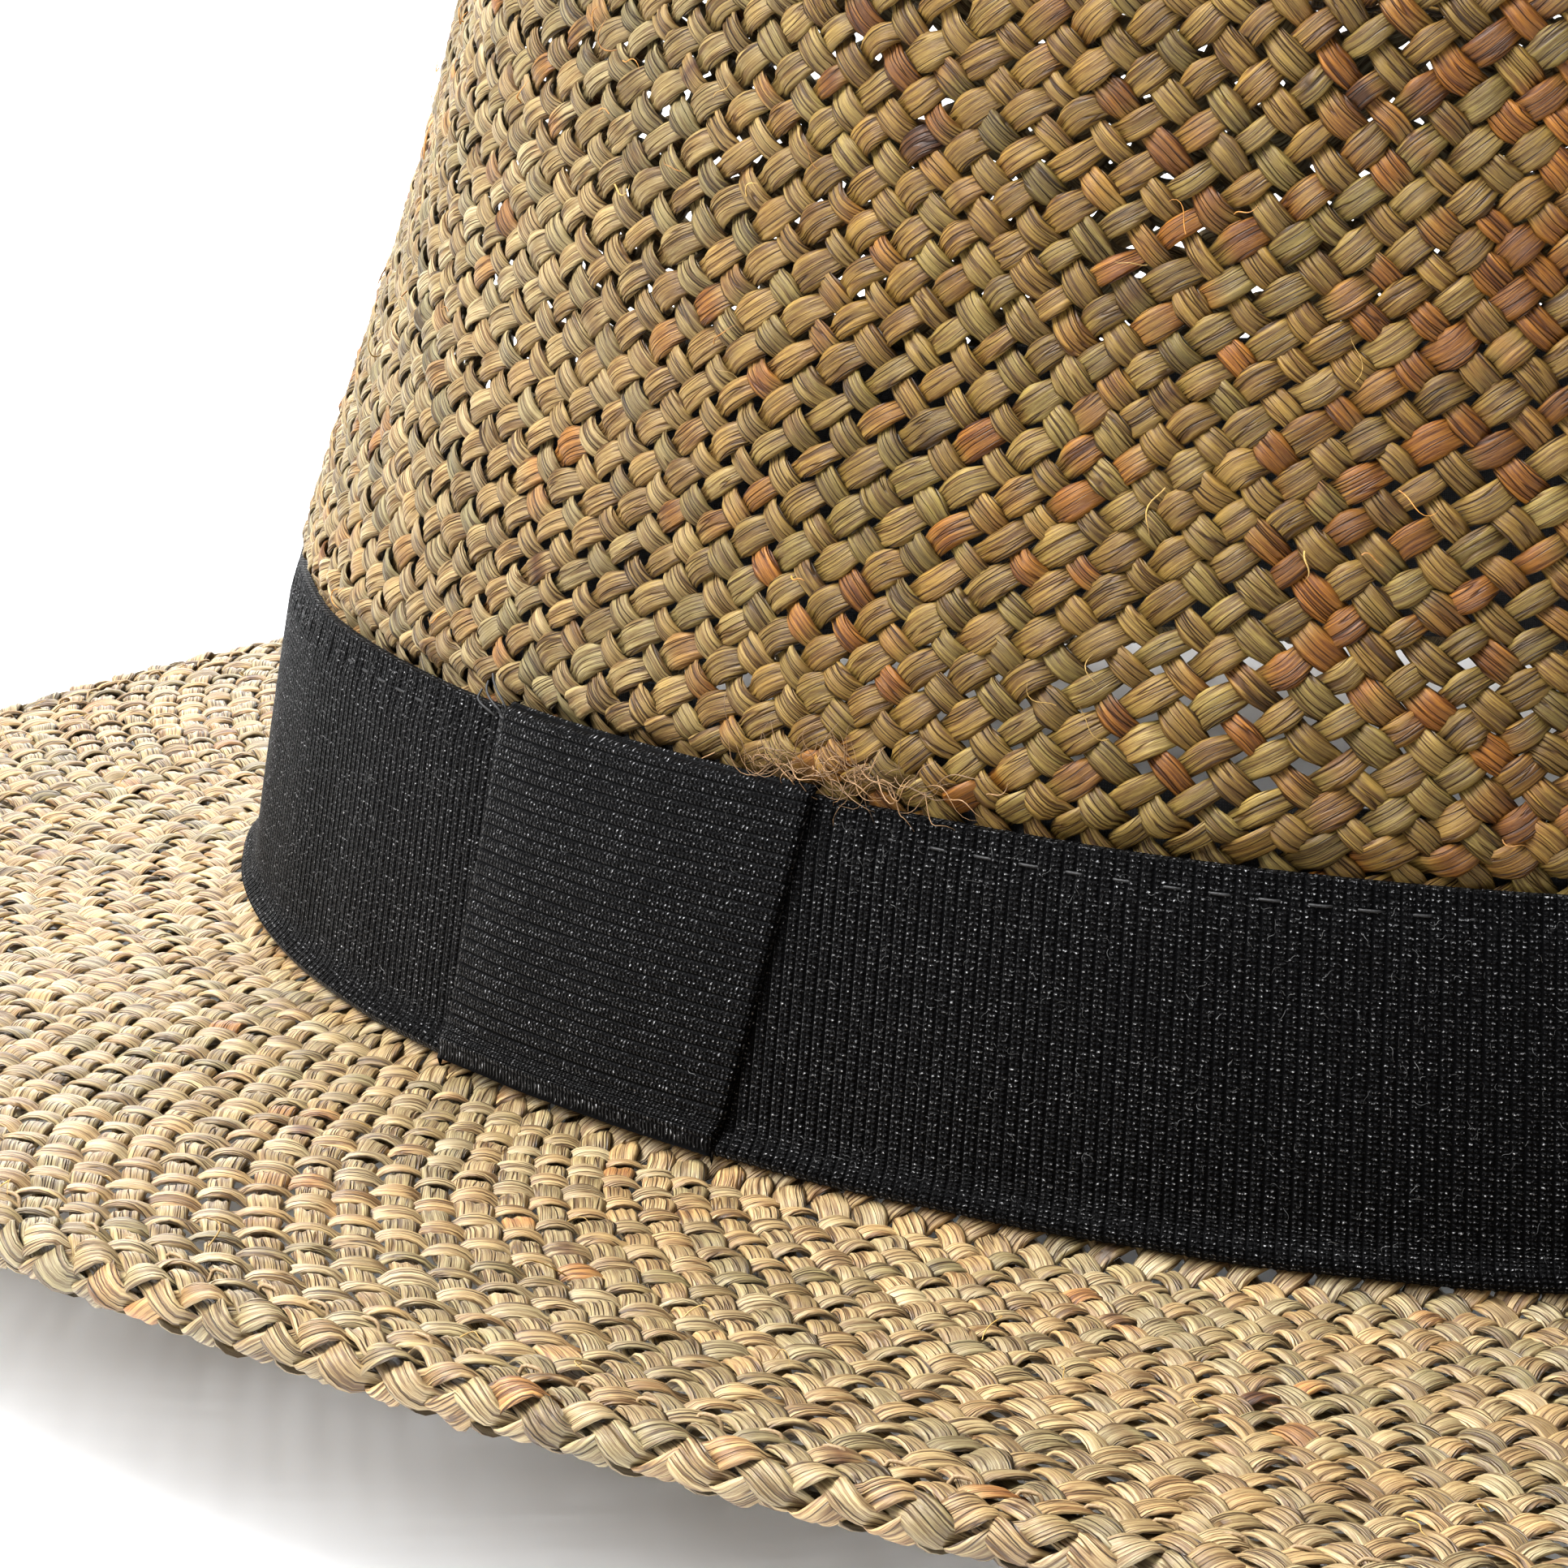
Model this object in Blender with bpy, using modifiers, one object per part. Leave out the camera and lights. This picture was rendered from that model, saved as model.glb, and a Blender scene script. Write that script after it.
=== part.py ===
"""Straw sun hat: a woven seagrass body with a grosgrain band, its keeper, and the pieces sewn inside.

Frame: metres, +Z up. The hat stands on the plane z = 0. The wearer faces -Y, and the wearer's left is +X.
An angle around the hat runs from the front (-Y) through the wearer's left (+X) to the back.
A height on the hat is measured from the break, the line where the crown turns into the brim.
"""

import bpy
import bmesh
from math import radians, sin, cos, asin, exp, pi, hypot

# Driving dimensions, in metres.
HALF_WIDTH = 0.0875          # outer oval of the band at the break, across the head
HALF_LENGTH = 0.1035         # the same oval, front to back
BREAK_Z = 0.0142             # mean height of the break above the table
BREAK_SADDLE = 0.0018        # the break is this much higher at the sides and lower at front and back
STRAW_THICK = 0.0014         # two crossing strands, pressed flat
GAP = 0.0003                 # clearance between touching pieces

BRIM_WIDTH = 0.0620          # break to outer edge
EDGE_SADDLE = 0.0096         # half of the brim edge's rise from the front and back to the sides
EDGE_LEAN = 0.13             # share by which it rises more behind the ears and less before them
EDGE_FLAT = 0.96             # share of the saddle that is left after the edge settles flat on a table
HEM_RADIUS = 0.0021          # outer radius of the fold at the edge
HEM_RETURN = 0.0065          # how far the edge is turned back under the brim

FILLET_UP = 0.0030           # the rounded break starts this high on the wall
FILLET_DOWN = 0.0014         # and ends this far below the break
FILLET_OUT = 0.0046          # reaching this far out

BAND_WIDTH = 0.0290          # grosgrain band, measured up the wall
BAND_THICK = 0.0008
BAND_SLOPE = 0.162           # inward lean of the wall behind the band
WALL_SLOPE = 0.140           # inward lean of the wall above the band
PINCH_SLOPE = 0.140          # extra lean in the two front pinches
PINCH_CURVE = 0.68           # growth of the pinches towards the top, per metre
PINCH_ANGLE = radians(42)    # where each pinch is deepest
PINCH_SPREAD = radians(20)

CREST_Z = 0.1180             # highest ring of the crown, above the table
CREST_RISE = 0.0030          # the crest is higher at the front and lower at the back
SHOULDER_IN = 0.0090         # rounded shoulder, from the wall in to the crest
SHOULDER_DOWN = 0.0120
DENT_DEPTH = 0.0200          # depth of the teardrop dent in the crown's top
DENT_BACK = 0.0060           # the dent's lowest point lies this far behind the middle

SIDES = 48                   # facets around every ring
STEP = 2 * pi / SIDES

KEEPER_FROM = radians(79)    # the keeper's two edges, around the hat
KEEPER_TO = radians(101)
KEEPER_THICK = 0.0007
BAND_JOIN = radians(90)      # the band's ends meet behind the keeper
BAND_SLIT = radians(0.6)     # half of the opening between them
KEEPER_LOW = 0.0002          # the keeper's lower edge, above the break
BAND_LOW = 0.0004            # the band's lower edge

SWEATBAND_LOW = 0.0010       # lower edge of the sweatband, above the break
SWEATBAND_HIGH = 0.0340
SWEATBAND_THICK = 0.0009
SWEATBAND_SLIT = radians(0.6)
SWEATBAND_STITCH = 0.0052    # its stitching runs this high
SWEATBAND_FOOT_OUT = 0.0003  # its lower edge lies this much nearer the straw
TAPE_THICK = 0.0005
LABEL_THICK = 0.0004

WIRE_RADIUS = 0.0004
THREAD_RADIUS = 0.00025
HEM_THREAD_IN = 0.0062       # the hem's stitching runs this far in from the edge
GATHER_DOWN = 0.0021         # the band's gathering thread, below its upper edge
THREAD_CLEAR = GAP + THREAD_RADIUS + 0.0001  # a thread's middle above the facets that it lies on
TACK_RISE = 0.0045           # height of the tacking thread's loose end
NUDGE = 0.0002               # height step that finds the wall's slope


def clear_scene():
    for thing in list(bpy.data.objects):
        bpy.data.objects.remove(thing, do_unlink=True)


def material(name, colour, roughness, metallic=0.0):
    made = bpy.data.materials.new(name)
    made.use_nodes = True
    shader = made.node_tree.nodes["Principled BSDF"]
    shader.inputs["Base Color"].default_value = (*colour, 1.0)
    shader.inputs["Roughness"].default_value = roughness
    shader.inputs["Metallic"].default_value = metallic
    return made


# ---- the hat's surface ----

def break_z(angle):
    return BREAK_Z - BREAK_SADDLE * cos(2 * angle)


def edge_z(angle):
    """Height of the brim's upper face at its edge, with the front and the back settled on the table."""
    rise = 1 - min(cos(2 * angle), EDGE_FLAT) / EDGE_FLAT
    return 2 * HEM_RADIUS + EDGE_SADDLE * rise * (1 - EDGE_LEAN * cos(angle))


def crest_z(angle):
    return CREST_Z + CREST_RISE * cos(angle)


def pinch(angle):
    """Depth of the front pinches around the crown, from 0 to 1."""
    turn = (angle + pi) % (2 * pi) - pi
    return exp(-(((abs(turn) - PINCH_ANGLE) / PINCH_SPREAD) ** 2))


def at(angle, outset, z):
    """The point at an angle, an outset from the band's oval, and a height above the table."""
    return ((HALF_WIDTH + outset) * sin(angle), -(HALF_LENGTH + outset) * cos(angle), z)


def wall_outset(angle, height):
    """Outset of the straw's outer face at a height above the break, down to the foot of the fillet."""
    if height < FILLET_UP:
        turn = asin(min(1.0, (FILLET_UP - height) / (FILLET_UP + FILLET_DOWN)))
        return wall_outset(angle, FILLET_UP) + FILLET_OUT * (1 - cos(turn))
    inset = GAP + BAND_THICK + BAND_SLOPE * min(height, BAND_WIDTH)
    above = max(0.0, height - BAND_WIDTH)
    extra = PINCH_SLOPE * above + PINCH_CURVE * above ** 2
    return -(inset + WALL_SLOPE * above + pinch(angle) * extra)


def off_wall(angle, height, distance):
    """The point at a distance from the straw's outer face, outward, square to the face."""
    lower = wall_outset(angle, height - NUDGE)
    upper = wall_outset(angle, height + NUDGE)
    run = hypot(2 * NUDGE, lower - upper)
    outset = wall_outset(angle, height) + distance * 2 * NUDGE / run
    return at(angle, outset, break_z(angle) + height + distance * (lower - upper) / run)


def brim_point(angle, share, lift=0.0):
    """A point on the brim's upper face, from the foot of the fillet (0) to the edge (1)."""
    inner = wall_outset(angle, -FILLET_DOWN)
    low = break_z(angle) - FILLET_DOWN
    bend = 0.6 * share + 0.4 * share ** 2
    outset = inner + (BRIM_WIDTH - HEM_RADIUS - inner) * share
    return at(angle, outset, low + (edge_z(angle) - low) * bend + lift)


def body_profile(angle):
    """The straw's outer face in one radial cut, from the middle of the dent to the end of the hem."""
    points = []
    shoulder_height = crest_z(angle) - SHOULDER_DOWN - break_z(angle)
    crest = at(angle, wall_outset(angle, shoulder_height) - SHOULDER_IN, crest_z(angle))
    for share in (0.16, 0.36, 0.55, 0.72, 0.87):
        drop = DENT_DEPTH * (1 + cos(pi * share)) / 2
        points.append((crest[0] * share, DENT_BACK + (crest[1] - DENT_BACK) * share, crest[2] - drop))
    points.append(crest)
    for turn in (radians(35), radians(65)):
        outset = wall_outset(angle, shoulder_height) - SHOULDER_IN * (1 - sin(turn))
        points.append(at(angle, outset, crest_z(angle) - SHOULDER_DOWN * (1 - cos(turn))))
    for share in (0.0, 0.2, 0.4, 0.6):
        height = shoulder_height + (BAND_WIDTH - shoulder_height) * share / 0.8
        points.append(at(angle, wall_outset(angle, height), break_z(angle) + height))
    for height in (BAND_WIDTH, BAND_WIDTH / 2, FILLET_UP, 0.0010, -0.0008):
        points.append(at(angle, wall_outset(angle, height), break_z(angle) + height))
    for share in (0.0, 0.2, 0.4, 0.6, 0.8, 1.0):
        points.append(brim_point(angle, share))
    middle = edge_z(angle) - HEM_RADIUS
    for turn in (radians(60), radians(120), radians(180)):
        outset = BRIM_WIDTH - HEM_RADIUS + HEM_RADIUS * sin(turn)
        points.append(at(angle, outset, middle + HEM_RADIUS * cos(turn)))
    points.append(at(angle, BRIM_WIDTH - HEM_RADIUS - HEM_RETURN, middle - HEM_RADIUS))
    return points


# ---- building ----

def add_object(name, mesh_or_curve, look, home):
    made = bpy.data.objects.new(name, mesh_or_curve)
    made.data.materials.append(look)
    home.objects.link(made)
    return made


def loft(name, rows, closed, middle, look, home):
    """A surface through rows of points, one row at each angle; middle closes it with one point."""
    mesh = bpy.data.meshes.new(name)
    work = bmesh.new()
    grid = [[work.verts.new(point) for point in row] for row in rows]
    hub = work.verts.new(middle) if middle else None
    for i in range(len(grid) if closed else len(grid) - 1):
        this, after = grid[i], grid[(i + 1) % len(grid)]
        if hub:
            work.faces.new((hub, this[0], after[0]))
        for k in range(len(this) - 1):
            work.faces.new((this[k], this[k + 1], after[k + 1], after[k]))
    work.to_mesh(mesh)
    work.free()
    mesh.shade_smooth()
    return add_object(name, mesh, look, home)


def thicken(sheet, thickness):
    """Gives an outer face its thickness, inward."""
    shell = sheet.modifiers.new("Thickness", "SOLIDIFY")
    shell.thickness = thickness
    shell.offset = -1.0
    shell.use_even_offset = True


def strand(name, points, radius, closed, look, home):
    """A round wire or thread along points."""
    curve = bpy.data.curves.new(name, "CURVE")
    curve.dimensions = "3D"
    curve.bevel_depth = radius
    curve.bevel_resolution = 1
    curve.use_fill_caps = not closed
    spline = curve.splines.new("POLY")
    spline.points.add(len(points) - 1)
    for slot, point in zip(spline.points, points):
        slot.co = (*point, 1.0)
    spline.use_cyclic_u = closed
    return add_object(name, curve, look, home)


def ring_angles():
    return [i * STEP for i in range(SIDES)]


def angles_between(start, end):
    """The start, every facet's corner that lies clear of both ends, and the end."""
    first = int(start / STEP) + 1
    corners = [i * STEP for i in range(first, first + SIDES + 1)]
    clear = 0.2 * STEP
    return [start, *[angle for angle in corners if start + clear < angle < end - clear], end]


def make_straw_body(look, home):
    rows = [body_profile(angle) for angle in ring_angles()]
    body = loft("straw_body", rows, True, (0.0, DENT_BACK, CREST_Z - DENT_DEPTH), look, home)
    thicken(body, STRAW_THICK)


def make_brim_wire(look, home):
    def place(angle):
        return at(angle, BRIM_WIDTH - HEM_RADIUS, edge_z(angle) - HEM_RADIUS)
    strand("brim_wire", [place(angle) for angle in ring_angles()], WIRE_RADIUS, True, look, home)


def make_hem_thread(look, home):
    share = 1 - HEM_THREAD_IN / BRIM_WIDTH
    points = [brim_point(angle, share, THREAD_CLEAR) for angle in ring_angles()]
    strand("brim_hem_thread", points, THREAD_RADIUS, True, look, home)


def make_ribbon_band(look, home):
    outer = GAP + BAND_THICK
    heights = [BAND_WIDTH * share for share in (1.0, 0.75, 0.5, 0.25)]
    heights += [FILLET_UP, FILLET_UP / 2, BAND_LOW]
    rows = []
    for angle in angles_between(BAND_JOIN + BAND_SLIT, BAND_JOIN + 2 * pi - BAND_SLIT):
        rows.append([off_wall(angle, height, outer) for height in heights])
    thicken(loft("ribbon_band", rows, False, None, look, home), BAND_THICK)


def make_ribbon_keeper(look, home):
    outer = 2 * GAP + BAND_THICK + KEEPER_THICK
    fold = BAND_WIDTH + GAP + KEEPER_THICK
    heights = [BAND_WIDTH * share for share in (0.75, 0.5, 0.25)]
    heights += [FILLET_UP, FILLET_UP / 2, KEEPER_LOW]
    rows = []
    for angle in angles_between(KEEPER_FROM, KEEPER_TO):
        row = [off_wall(angle, fold, GAP)]
        row.append(off_wall(angle, fold, 0.7 * outer))
        row.append(off_wall(angle, fold - 0.7 * KEEPER_THICK, outer))
        row += [off_wall(angle, height, outer) for height in heights]
        rows.append(row)
    thicken(loft("ribbon_keeper", rows, False, None, look, home), KEEPER_THICK)


def make_gathering_thread(look, home):
    """Draws in the band's upper edge; it starts and ends beside the keeper."""
    distance = GAP + BAND_THICK + THREAD_CLEAR
    clear = radians(1.2)
    spread = angles_between(KEEPER_TO + clear, KEEPER_FROM + 2 * pi - clear)
    points = [off_wall(angle, BAND_WIDTH - GATHER_DOWN, distance) for angle in spread]
    strand("ribbon_gathering_thread", points, THREAD_RADIUS, False, look, home)


def make_keeper_tack(look, home):
    """The tacking thread that holds the keeper, with its end left standing above the band."""
    clear = THREAD_RADIUS + 2 * GAP
    foot = BAND_WIDTH + GAP + clear
    angle = KEEPER_FROM - radians(0.8)
    points = []
    for share in (0.0, 0.25, 0.5, 0.75, 1.0):
        bent = angle - radians(1.2) * share ** 2
        points.append(off_wall(bent, foot + TACK_RISE * share, clear + 0.0012 * share))
    strand("keeper_tack_thread", points, THREAD_RADIUS, False, look, home)


def inner_offset(depth):
    """Distance from the straw's outer face to one at a depth inside the sweatband's outer face."""
    return -(STRAW_THICK + GAP + depth)


def make_sweatband(look, home):
    rows = []
    for angle in angles_between(pi + SWEATBAND_SLIT, 3 * pi - SWEATBAND_SLIT):
        row = []
        for height in (SWEATBAND_HIGH, BAND_WIDTH, 0.5 * BAND_WIDTH, FILLET_UP + GAP):
            row.append(off_wall(angle, height, inner_offset(0.0)))
        foot = wall_outset(angle, FILLET_UP) + inner_offset(0.0) + SWEATBAND_FOOT_OUT
        row.append(at(angle, foot, break_z(angle) + SWEATBAND_LOW))
        rows.append(row)
    thicken(loft("sweatband", rows, False, None, look, home), SWEATBAND_THICK)


def make_sweatband_thread(look, home):
    """Stitches the sweatband to the straw, just above its lower edge."""
    distance = inner_offset(SWEATBAND_THICK + THREAD_CLEAR)
    points = [off_wall(angle, SWEATBAND_STITCH, distance) for angle in ring_angles()]
    strand("sweatband_thread", points, THREAD_RADIUS, True, look, home)


def make_inner_patch(name, span, heights, thickness, look, home):
    """A flat piece sewn to the inside of the sweatband, over a span of degrees from the front."""
    start, end = (radians(side) for side in span)
    low, high = heights
    rows = []
    for angle in angles_between(start, end):
        outer = inner_offset(SWEATBAND_THICK + GAP)
        rows.append([off_wall(angle, low + (high - low) * k / 3, outer) for k in (3, 2, 1, 0)])
    thicken(loft(name, rows, False, None, look, home), thickness)


def main():
    clear_scene()
    home = bpy.data.collections.new("straw_sun_hat")
    bpy.context.scene.collection.children.link(home)

    straw = material("woven_straw", (0.56, 0.42, 0.22), 0.55)
    grosgrain = material("black_grosgrain", (0.012, 0.012, 0.013), 0.70)
    keeper = material("black_grosgrain_keeper", (0.010, 0.010, 0.011), 0.70)
    steel = material("brim_wire_steel", (0.45, 0.45, 0.47), 0.35, 1.0)
    brown_thread = material("brown_thread", (0.30, 0.14, 0.08), 0.80)
    black_thread = material("black_thread", (0.015, 0.015, 0.016), 0.75)
    tack_thread = material("tack_thread", (0.020, 0.024, 0.024), 0.75)
    cotton = material("sweatband_cotton", (0.025, 0.025, 0.026), 0.85)
    lining_thread = material("sweatband_thread_black", (0.03, 0.03, 0.03), 0.80)
    tape = material("seam_tape", (0.70, 0.67, 0.60), 0.85)
    label = material("blank_label", (0.86, 0.85, 0.82), 0.60)

    make_straw_body(straw, home)
    make_brim_wire(steel, home)
    make_hem_thread(brown_thread, home)
    make_ribbon_band(grosgrain, home)
    make_ribbon_keeper(keeper, home)
    make_gathering_thread(black_thread, home)
    make_keeper_tack(tack_thread, home)
    make_sweatband(cotton, home)
    make_sweatband_thread(lining_thread, home)
    make_inner_patch("sweatband_seam_tape", (177, 183), (0.0078, 0.0330), TAPE_THICK, tape, home)
    make_inner_patch("size_label", (196, 208), (0.0120, 0.0260), LABEL_THICK, label, home)


main()
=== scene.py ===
import math

import bpy
import numpy as np
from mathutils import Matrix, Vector


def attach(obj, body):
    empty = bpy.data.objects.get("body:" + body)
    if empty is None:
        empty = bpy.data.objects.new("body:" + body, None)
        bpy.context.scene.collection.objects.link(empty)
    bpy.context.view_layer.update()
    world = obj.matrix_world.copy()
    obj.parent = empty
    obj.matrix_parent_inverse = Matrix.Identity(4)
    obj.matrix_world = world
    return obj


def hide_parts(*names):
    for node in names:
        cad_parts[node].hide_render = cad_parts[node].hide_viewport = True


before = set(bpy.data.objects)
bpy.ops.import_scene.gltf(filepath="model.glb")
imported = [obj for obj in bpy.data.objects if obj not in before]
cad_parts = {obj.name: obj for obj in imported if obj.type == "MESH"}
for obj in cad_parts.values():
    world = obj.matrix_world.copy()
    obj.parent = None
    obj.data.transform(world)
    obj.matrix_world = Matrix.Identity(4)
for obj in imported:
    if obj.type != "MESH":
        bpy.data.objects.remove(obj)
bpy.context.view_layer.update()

TURN = 2 * math.pi

# ---------------------------------------------------------------- the hat's form, in metres
# The angle a runs round the hat from the front (-Y) through the wearer's left (+X).
# An outset is measured out from the oval of the band's foot, and a height from the brim break.

HALF_WIDTH = 0.0875
HALF_LENGTH = 0.1035
BREAK_Z = 0.0142
BREAK_SADDLE = 0.0018
BRIM_WIDTH = 0.0620
EDGE_SADDLE = 0.0096
EDGE_LEAN = 0.13
EDGE_FLAT = 0.96
HEM_RADIUS = 0.0021
HEM_RETURN = 0.0062
FILLET_UP = 0.0030
FILLET_DOWN = 0.0014
FILLET_OUT = 0.0046
GAP = 0.0003
STRAW_THICK = 0.0014
BAND_WIDTH = 0.0290
BAND_THICK = 0.0008
BAND_SLOPE = 0.162
WALL_SLOPE = 0.140
PINCH_SLOPE = 0.140
PINCH_CURVE = 0.68
PINCH_ANGLE = math.radians(42)
PINCH_SPREAD = math.radians(20)
CREST_Z = 0.1180
CREST_RISE = 0.0030
SHOULDER_IN = 0.0090
SHOULDER_DOWN = 0.0120
DENT_DEPTH = 0.0200
DENT_BACK = 0.0060
KEEPER_THICK = 0.0007
PUFF = 0.0013  # the straw's swell above the band, which draws it in
PUFF_START = 0.0030
PUFF_FADE = 0.0220


def smooth(share):
    """Eases a share from 0 to 1."""
    return share * share * (3 - 2 * share)


def break_z(a):
    return BREAK_Z - BREAK_SADDLE * np.cos(2 * a)


def edge_z(a):
    rise = 1 - np.minimum(np.cos(2 * a), EDGE_FLAT) / EDGE_FLAT
    return 2 * HEM_RADIUS + EDGE_SADDLE * rise * (1 - EDGE_LEAN * np.cos(a))


def crest_z(a):
    return CREST_Z + CREST_RISE * np.cos(a)


def pinch(a):
    turn = (a + math.pi) % TURN - math.pi
    return np.exp(-(((np.abs(turn) - PINCH_ANGLE) / PINCH_SPREAD) ** 2))


def at(a, outset, z):
    x = (HALF_WIDTH + outset) * np.sin(a)
    y = -(HALF_LENGTH + outset) * np.cos(a)
    return np.stack(np.broadcast_arrays(x, y, z), axis=-1)


def bare_outset(a, h):
    """The wall without its fillet at the brim."""
    inset = GAP + BAND_THICK + BAND_SLOPE * np.minimum(h, BAND_WIDTH)
    above = np.maximum(0, h - BAND_WIDTH)
    pinched = pinch(a) * (PINCH_SLOPE * above + PINCH_CURVE * above**2)
    return -(inset + WALL_SLOPE * above + pinched)


def wall_outset(a, h):
    share = np.clip((FILLET_UP - h) / (FILLET_UP + FILLET_DOWN), 0, 1)
    flare = FILLET_OUT * (1 - np.sqrt(1 - share**2))
    return bare_outset(a, np.maximum(h, FILLET_UP)) + flare


def wall_point(a, h):
    return at(a, wall_outset(a, h), break_z(a) + h)


def puff(h):
    """How far the straw swells out at a height above the band."""
    above = h - BAND_WIDTH
    start = np.clip(above / PUFF_START, 0, 1)
    fade = np.exp(-((np.maximum(0, above - PUFF_START) / PUFF_FADE) ** 2))
    return PUFF * smooth(start) * fade


def straw_face(a, h):
    """The straw's outer face above the band."""
    return at(a, wall_outset(a, h) + puff(h), break_z(a) + h)


def shoulder_height(a):
    return crest_z(a) - SHOULDER_DOWN - break_z(a)


SHOULDER_LENGTH = math.pi / 2 * math.hypot(SHOULDER_IN, SHOULDER_DOWN) / math.sqrt(2)
CROWN_FOOT = 0.0040


def crown_length(a):
    return shoulder_height(a) - CROWN_FOOT + SHOULDER_LENGTH


def crown_point(a, share):
    """The crown's side, from its foot behind the band at 0 to the crest at 1."""
    along = share * crown_length(a)
    side = shoulder_height(a) - CROWN_FOOT
    turn = np.clip(math.pi / 2 * (1 - (along - side) / SHOULDER_LENGTH), 0, math.pi / 2)
    h = CROWN_FOOT + np.minimum(along, side)
    on_side = straw_face(a, h)
    outset = wall_outset(a, shoulder_height(a)) - SHOULDER_IN * (1 - np.sin(turn))
    on_shoulder = at(a, outset, crest_z(a) - SHOULDER_DOWN * (1 - np.cos(turn)))
    return np.where((along < side)[..., None], on_side, on_shoulder)


def tip_point(x, y):
    """The dented top, over a disc of radius 1 whose rim is the crest."""
    share = np.hypot(x, y)
    a = angle_of(np.arctan2(x, -y) / TURN)
    outset = wall_outset(a, shoulder_height(a)) - SHOULDER_IN
    crest = at(a, outset, crest_z(a))
    dent = DENT_DEPTH * (1 + np.cos(math.pi * np.minimum(share, 1))) / 2
    px = crest[..., 0] * share
    py = DENT_BACK + (crest[..., 1] - DENT_BACK) * share
    pz = CREST_Z + (crest[..., 2] - CREST_Z) * share - dent
    return np.stack([px, py, pz], axis=-1)


FILLET_HIGH = FILLET_UP + FILLET_DOWN
FILLET_ARC = math.pi / 4 * (FILLET_HIGH + FILLET_OUT)
BRIM_FOOT = FILLET_ARC + 0.0015


def brim_lengths(a):
    """Lengths of the brim's return, hem, top and foot, from under the edge to the wall."""
    top = BRIM_WIDTH - HEM_RADIUS - wall_outset(a, -FILLET_DOWN)
    return HEM_RETURN, math.pi * HEM_RADIUS, top, BRIM_FOOT


def brim_point(a, along):
    """The brim's outer face, from under the edge, round the hem and in to the wall."""
    back, round_hem, top = brim_lengths(a)[:3]
    centre = BRIM_WIDTH - HEM_RADIUS
    middle = edge_z(a) - HEM_RADIUS
    turn = np.clip((along - back) / HEM_RADIUS, 0, math.pi)
    on_hem = at(a, centre + HEM_RADIUS * np.sin(turn), middle - HEM_RADIUS * np.cos(turn))
    under = at(a, centre - np.maximum(back - along, 0), middle - HEM_RADIUS)
    share = np.clip(1 - (along - back - round_hem) / top, 0, 1)
    low = break_z(a) - FILLET_DOWN
    bend = 0.6 * share + 0.4 * share**2
    outset = wall_outset(a, -FILLET_DOWN) + top * share
    on_top = at(a, outset, low + (edge_z(a) - low) * bend)
    up = np.maximum(along - back - round_hem - top, 0)
    lean = np.clip(math.pi / 2 * (1 - up / FILLET_ARC), 0, math.pi / 2)
    h = FILLET_UP - FILLET_HIGH * np.sin(lean) + np.maximum(up - FILLET_ARC, 0)
    flare = FILLET_OUT * (1 - np.cos(lean))
    on_foot = at(a, bare_outset(a, np.maximum(h, FILLET_UP)) + flare, break_z(a) + h)
    place = np.where((along < back + round_hem)[..., None], on_hem, on_top)
    place = np.where((along < back)[..., None], under, place)
    return np.where((up > 0)[..., None], on_foot, place)


def oval_table(outset):
    """Angles all round the hat and the share of the oval's length that each has passed."""
    a = np.linspace(0, TURN, 2881)
    step = np.hypot((HALF_WIDTH + outset) * np.cos(a), (HALF_LENGTH + outset) * np.sin(a))
    passed = np.concatenate([[0], np.cumsum((step[1:] + step[:-1]) / 2)])
    return a, passed / passed[-1]


OVAL = oval_table(-0.010)
BRIM_OVAL = oval_table(0.030)


def angle_of(share, oval=OVAL):
    """The hat angle at a share of the way round the oval."""
    whole = np.floor(share)
    return np.interp(share - whole, oval[1], oval[0]) + TURN * whole


def with_normal(surface, p, q, nudge=0.0004):
    """Points of a surface and its outward normals."""
    along = surface(p + nudge, q) - surface(p - nudge, q)
    across = surface(p, q + nudge) - surface(p, q - nudge)
    normal = np.cross(along, across)
    return surface(p, q), normal / np.linalg.norm(normal, axis=-1, keepdims=True)


# ---------------------------------------------------------------- making meshes


def mesh_piece(name, points, quads, material, uv, tint, replaces):
    """One named mesh object of quads, riding on the hat, in place of the CAD's nodes."""
    mesh = bpy.data.meshes.new(name)
    mesh.vertices.add(len(points))
    mesh.vertices.foreach_set("co", points.astype(np.float32).ravel())
    mesh.loops.add(4 * len(quads))
    mesh.loops.foreach_set("vertex_index", quads.astype(np.int32).ravel())
    mesh.polygons.add(len(quads))
    mesh.polygons.foreach_set("loop_start", np.arange(0, 4 * len(quads), 4, dtype=np.int32))
    mesh.polygons.foreach_set("use_smooth", np.ones(len(quads), bool))
    mesh.update()
    if uv is not None:
        layer = mesh.uv_layers.new(name="along")
        layer.data.foreach_set("uv", uv[quads.ravel()].astype(np.float32).ravel())
    if tint is not None:
        colour = mesh.attributes.new("tint", "FLOAT_COLOR", "POINT")
        rgba = np.concatenate([tint, np.ones((len(tint), 1))], axis=1)
        colour.data.foreach_set("color", rgba.astype(np.float32).ravel())
    mesh.materials.append(material)
    piece = bpy.data.objects.new(name, mesh)
    bpy.context.scene.collection.objects.link(piece)
    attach(piece, "root")
    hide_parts(*replaces)
    return piece


def ring_quads(count, sides):
    """Quads of a tube of count sections with sides points each."""
    row = np.arange(count - 1)[:, None] * sides
    around = np.arange(sides)[None, :]
    after = (around + 1) % sides
    low = [row + around, row + after, row + sides + after, row + sides + around]
    return np.stack(np.broadcast_arrays(*low), axis=-1).reshape(-1, 4)


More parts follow.
